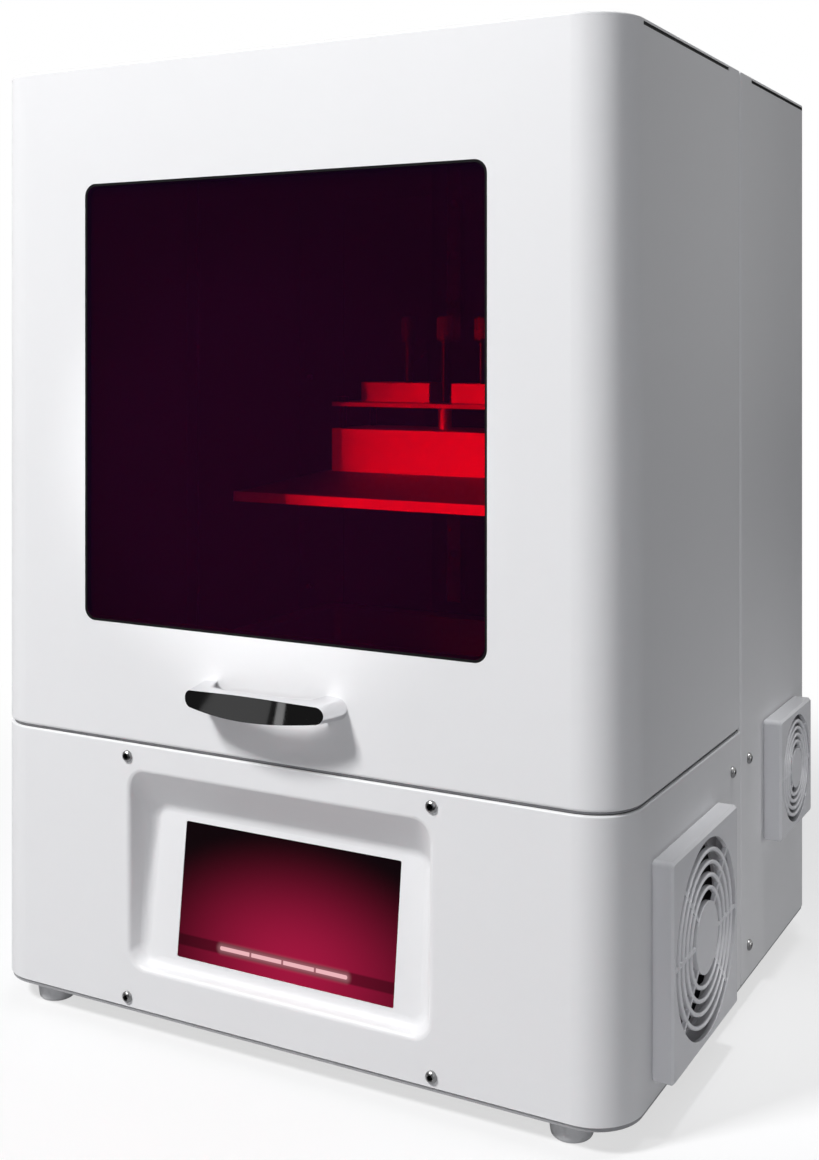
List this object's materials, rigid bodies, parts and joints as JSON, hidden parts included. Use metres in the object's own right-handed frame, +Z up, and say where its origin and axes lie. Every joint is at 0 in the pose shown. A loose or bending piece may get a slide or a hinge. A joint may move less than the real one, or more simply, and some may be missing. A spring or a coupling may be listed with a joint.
{
  "type": "resin printer",
  "caption": "White desktop resin printer: flip-up hood with a dark red window, sloped touch display, build platform on a screw lift over a vat, cooling fans in the side.",
  "frame": {"origin": "bottom centre of the printer's box, on the table under its feet", "axes": "+Z up, -Y out of the front window, +X towards the side with the fans"},
  "size_m": [0.4588, 0.411, 0.6184],
  "materials": {
    "case_white": "satin white powder coat",
    "plate_grey": "grey powder coat",
    "foot_rubber": "matt grey rubber",
    "screw_steel": "nickel-plated steel",
    "bracket_steel": "bare galvanised steel",
    "display_glass": "black glass-fronted display",
    "deck_black": "black powder coat",
    "screen_glass": "dark polished panel",
    "housing_black": "black moulded plastic",
    "lens_clear": "clear moulded lens",
    "board_green": "green circuit board",
    "sink_aluminium": "extruded aluminium",
    "seal_black": "black foam rubber",
    "inlet_black": "black moulded plastic",
    "rocker_black": "black moulded plastic",
    "supply_metal": "pressed steel",
    "cover_plastic": "pale moulded plastic",
    "fan_black": "black moulded plastic",
    "window_red": "dark red tinted acrylic",
    "handle_chrome": "polished plating",
    "hinge_steel": "plain steel",
    "vat_metal": "dark anodised aluminium",
    "film_clear": "clear release film",
    "platform_aluminium": "bead-blasted aluminium",
    "rail_steel": "ground steel",
    "nut_brass": "turned brass",
    "knob_metal": "turned aluminium",
    "column_metal": "extruded aluminium",
    "motor_black": "black lacquer"
  },
  "bodies": {
    "base": {"feet": "foot_rubber", "base_plate": "plate_grey", "base_cover": "case_white", "case_screws": "screw_steel", "seam_brackets": "bracket_steel", "touch_display": "display_glass", "deck_plate": "deck_black", "deck_posts": "bracket_steel", "exposure_screen": "screen_glass", "light_housing": "housing_black", "light_lens": "lens_clear", "led_board": "board_green", "heat_sink": "sink_aluminium", "rear_body": "case_white", "rear_top": "case_white", "rear_top_seals": "seal_black", "rear_panel": "case_white", "power_inlet": "inlet_black", "power_supply": "supply_metal", "main_board": "board_green", "front_fan_cover": "cover_plastic", "front_fan_frame": "fan_black", "rear_fan_cover": "cover_plastic", "rear_fan_frame": "fan_black", "fan_screws": "screw_steel", "rear_hinge_leaves": "hinge_steel", "hinge_pins": "hinge_steel", "film_ring": "vat_metal", "vat_film": "film_clear", "vat_frame": "vat_metal", "z_column": "column_metal", "z_rails": "rail_steel", "z_bearings": "column_metal", "z_motor": "motor_black"},
    "hood": {"hood_shell": "case_white", "hood_top": "case_white", "hood_seals": "seal_black", "window_pane": "window_red", "window_gasket": "seal_black", "handle": "handle_chrome", "handle_screws": "screw_steel", "hood_hinge_leaves": "hinge_steel"},
    "platform": {"z_carriages": "rail_steel", "carriage_plate": "platform_aluminium", "lead_nut": "nut_brass", "platform_arm": "platform_aluminium", "clamp_blocks": "platform_aluminium", "platform_block": "platform_aluminium", "build_plate": "platform_aluminium", "levelling_bolts": "screw_steel"},
    "screw": {"lead_screw": "rail_steel", "shaft_coupling": "rail_steel"},
    "front_rotor": {"front_fan_rotor": "fan_black"},
    "rear_rotor": {"rear_fan_rotor": "fan_black"},
    "rocker": {"power_rocker": "rocker_black"},
    "knob_left": {"left_knob": "knob_metal"},
    "knob_centre": {"centre_knob": "knob_metal"},
    "knob_right": {"right_knob": "knob_metal"},
    "vat_screw_left": {"left_vat_screw": "knob_metal"},
    "vat_screw_right": {"right_vat_screw": "knob_metal"}
  },
  "joints": [
    {"name": "hood_hinge", "type": "hinge", "parent": "base", "child": "hood", "pos_m": [-0.00515, 0.035, 0.6144], "axis": [-1, 0, 0], "range_deg": [0, 90]},
    {"name": "platform_slide", "type": "slide", "parent": "base", "child": "platform", "axis": [0, 0, 1], "range_m": [-0.1325, 0.145]},
    {"name": "screw_turn", "type": "hinge", "parent": "base", "child": "screw", "pos_m": [-0.00515, 0.1715, 0.4], "axis": [0, 0, 1], "range_deg": [-6000, 6600]},
    {"name": "front_fan_spin", "type": "hinge", "parent": "base", "child": "front_rotor", "pos_m": [0.20185, -0.075, 0.0887], "axis": [1, 0, 0], "continuous": true},
    {"name": "rear_fan_spin", "type": "hinge", "parent": "base", "child": "rear_rotor", "pos_m": [0.20185, 0.13, 0.1365], "axis": [1, 0, 0], "continuous": true},
    {"name": "rocker_tip", "type": "hinge", "parent": "base", "child": "rocker", "pos_m": [-0.15515, 0.198, 0.0801], "axis": [1, 0, 0], "range_deg": [-15, 0]},
    {"name": "knob_left_turn", "type": "hinge", "parent": "platform", "child": "knob_left", "pos_m": [-0.03515, 0.049, 0.44], "axis": [0, 0, 1], "range_deg": [0, 1080]},
    {"name": "knob_centre_turn", "type": "hinge", "parent": "platform", "child": "knob_centre", "pos_m": [-0.00515, 0.049, 0.44], "axis": [0, 0, 1], "range_deg": [0, 1080]},
    {"name": "knob_right_turn", "type": "hinge", "parent": "platform", "child": "knob_right", "pos_m": [0.02485, 0.049, 0.44], "axis": [0, 0, 1], "range_deg": [0, 1080]},
    {"name": "vat_screw_left_turn", "type": "hinge", "parent": "base", "child": "vat_screw_left", "pos_m": [-0.17415, 0.0455, 0.2], "axis": [0, 0, 1], "range_deg": [0, 1080]},
    {"name": "vat_screw_right_turn", "type": "hinge", "parent": "base", "child": "vat_screw_right", "pos_m": [0.16385, 0.0455, 0.2], "axis": [0, 0, 1], "range_deg": [0, 1080]}
  ],
  "couplings": [
    {"joint": "screw_turn", "follows": "platform_slide", "rad_per_m": 785.4}
  ]
}
